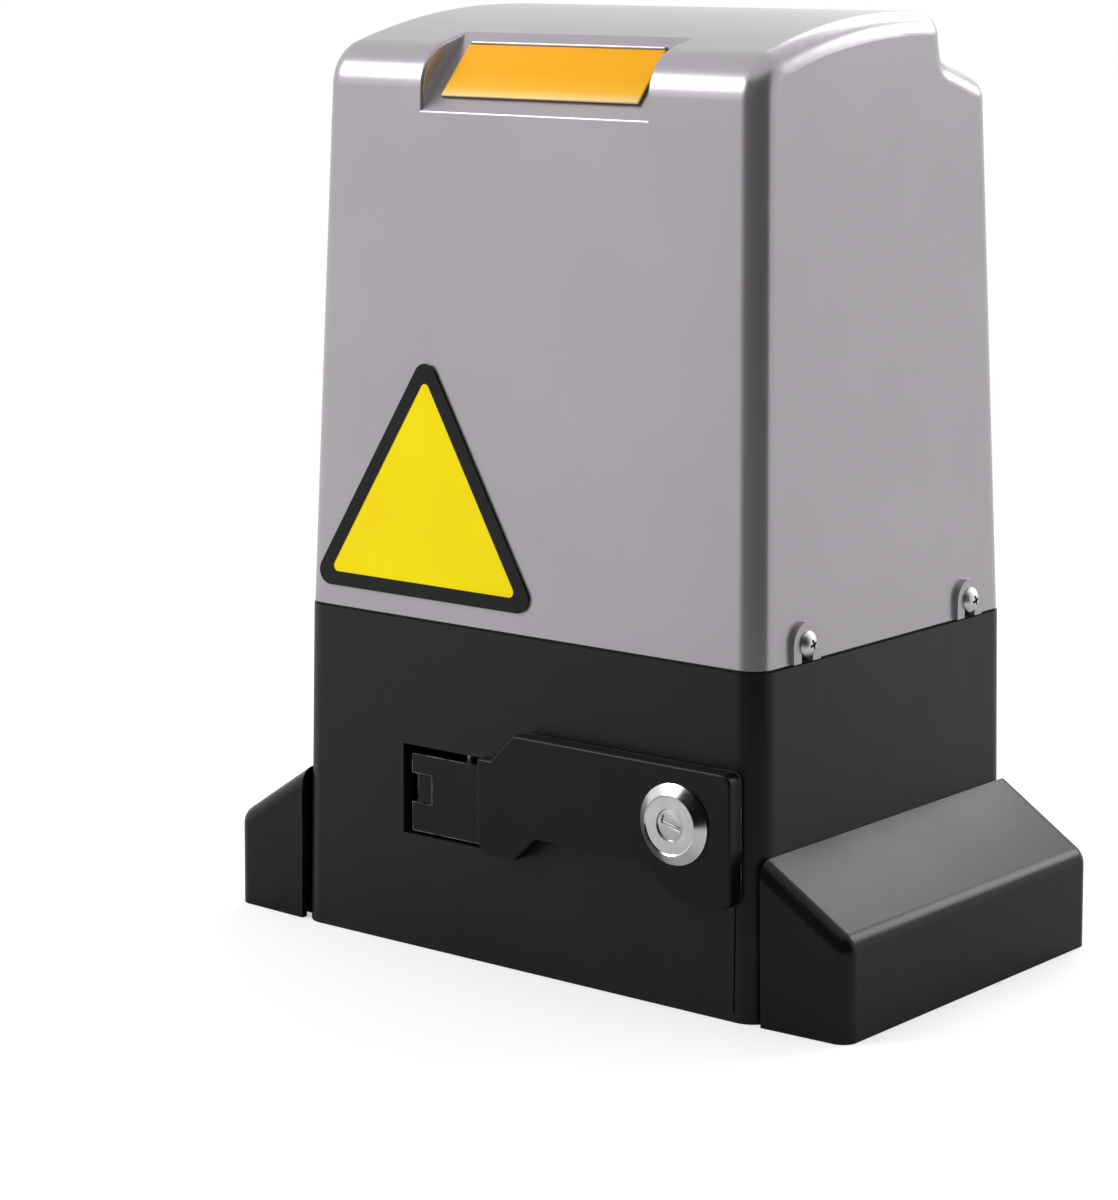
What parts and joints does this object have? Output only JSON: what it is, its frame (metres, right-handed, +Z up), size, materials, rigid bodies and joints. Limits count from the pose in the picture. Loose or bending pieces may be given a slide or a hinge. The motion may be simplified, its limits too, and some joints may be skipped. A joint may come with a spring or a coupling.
{
  "type": "sliding gate motor",
  "caption": "Sliding gate motor: tall drafted cover on a cast base with foot covers, lockable release lever in front and a toothed output gear at the rear.",
  "frame": {"origin": "centre of the four anchor slots on the underside of the base", "axes": "+Z up from the underside, +Y towards the gate (the output gear's side), +X to the right seen from the release lever's side"},
  "size_m": [0.271, 0.1977, 0.325],
  "materials": {
    "cover_grey_abs": "moulded, satin gloss",
    "painted_black_aluminium": "fine textured paint",
    "black_abs": "moulded, satin",
    "lever_black": "satin paint",
    "lock_chrome": "polished",
    "zinc_steel": "zinc plated",
    "steel": "ground",
    "bearing_steel": "ground",
    "bronze": "cut bronze",
    "copper_winding": "varnished copper",
    "motor_laminations": "stacked sheet",
    "cast_aluminium": "as cast",
    "board_green": "solder mask",
    "component_black": "moulded",
    "component_blue": "moulded",
    "terminal_green": "moulded",
    "capacitor_white": "moulded",
    "rubber_black": "moulded",
    "orange_plate": "printed plastic plate, blank",
    "yellow_field": "printed plastic plate, blank",
    "black_print": "printed"
  },
  "bodies": {
    "housing": {"base_housing": "painted_black_aluminium", "base_seal": "rubber_black", "cover_screws": "zinc_steel", "front_bearing_outer_race": "bearing_steel", "rear_bearing_outer_race": "bearing_steel", "output_oil_seal": "rubber_black", "gearbox_lid": "cast_aluminium", "gearbox_gasket": "rubber_black", "gearbox_lid_screws": "zinc_steel", "motor_bearing_outer_races": "bearing_steel", "worm_tail_bearing_outer_race": "bearing_steel", "motor_lower_cap": "cast_aluminium", "motor_upper_cap": "cast_aluminium", "motor_through_bolts": "zinc_steel", "stator_core": "motor_laminations", "stator_windings": "copper_winding", "lever_hinge_pin": "steel", "board_bracket": "zinc_steel", "control_board": "board_green", "board_screws": "zinc_steel", "relays": "component_blue", "terminal_blocks": "terminal_green", "board_transformer": "component_black", "fuse": "component_black", "radio_receiver": "component_black", "run_capacitor": "capacitor_white", "capacitor_clamp": "zinc_steel", "limit_switch": "component_black", "limit_switch_screws": "zinc_steel", "cable_grommet": "rubber_black"},
    "output": {"output_shaft": "steel", "worm_wheel": "bronze", "output_gear": "zinc_steel", "output_gear_key": "steel", "output_gear_washer": "zinc_steel", "output_gear_bolt": "zinc_steel", "front_bearing_inner_race": "bearing_steel", "rear_bearing_inner_race": "bearing_steel"},
    "clutch_release": {"clutch_ring": "steel", "clutch_spring": "steel", "release_rod": "steel", "clutch_cross_pin": "steel"},
    "rotor": {"worm_shaft": "steel", "rotor_core": "motor_laminations", "motor_bearing_inner_races": "bearing_steel", "worm_tail_bearing_inner_race": "bearing_steel"},
    "lever": {"release_lever": "lever_black", "lock_body": "lock_chrome", "lock_nut": "zinc_steel"},
    "lock": {"lock_plug": "lock_chrome", "lock_tongue": "zinc_steel"},
    "cover": {"top_cover": "cover_grey_abs", "name_plate": "orange_plate", "triangle_plate_border": "black_print", "triangle_plate_field": "yellow_field"},
    "limit_wand": {"limit_lever": "zinc_steel"},
    "right_foot": {"right_foot_cover": "black_abs"},
    "left_foot": {"left_foot_cover": "black_abs"}
  },
  "joints": [
    {"name": "output_spin", "type": "hinge", "parent": "housing", "child": "output", "pos_m": [-0.028, 0, 0.057], "axis": [0, 1, 0], "continuous": true},
    {"name": "motor_spin", "type": "hinge", "parent": "housing", "child": "rotor", "pos_m": [0.012, 0.008, 0.1], "axis": [0, 0, 1], "continuous": true},
    {"name": "lever_swing", "type": "hinge", "parent": "housing", "child": "lever", "pos_m": [-0.028, -0.066, 0.057], "axis": [0, 0, -1], "range_deg": [0, 90]},
    {"name": "release_slide", "type": "slide", "parent": "output", "child": "clutch_release", "axis": [0, 1, 0], "range_m": [0, 0.005], "deforming": ["clutch_spring"]},
    {"name": "lock_turn", "type": "hinge", "parent": "lever", "child": "lock", "pos_m": [0.0725, -0.08, 0.0653], "axis": [0, 1, 0], "range_deg": [0, 90]},
    {"name": "limit_wand_swing", "type": "hinge", "parent": "housing", "child": "limit_wand", "pos_m": [-0.028, 0.061, 0.125], "axis": [0, 0, 1], "range_deg": [-30, 30], "stiffness_Nm_per_rad": 0.15},
    {"name": "cover_lift", "type": "slide", "parent": "housing", "child": "cover", "axis": [0, 0, 1], "range_m": [0, 0.13]},
    {"name": "right_foot_slide", "type": "slide", "parent": "housing", "child": "right_foot", "axis": [1, 0, 0], "range_m": [0, 0.06]},
    {"name": "left_foot_slide", "type": "slide", "parent": "housing", "child": "left_foot", "axis": [-1, 0, 0], "range_m": [0, 0.06]}
  ],
  "couplings": [
    {"joint": "motor_spin", "follows": "output_spin", "ratio": 30},
    {"joint": "release_slide", "follows": "lever_swing", "m_per_rad": 0.0031831}
  ]
}
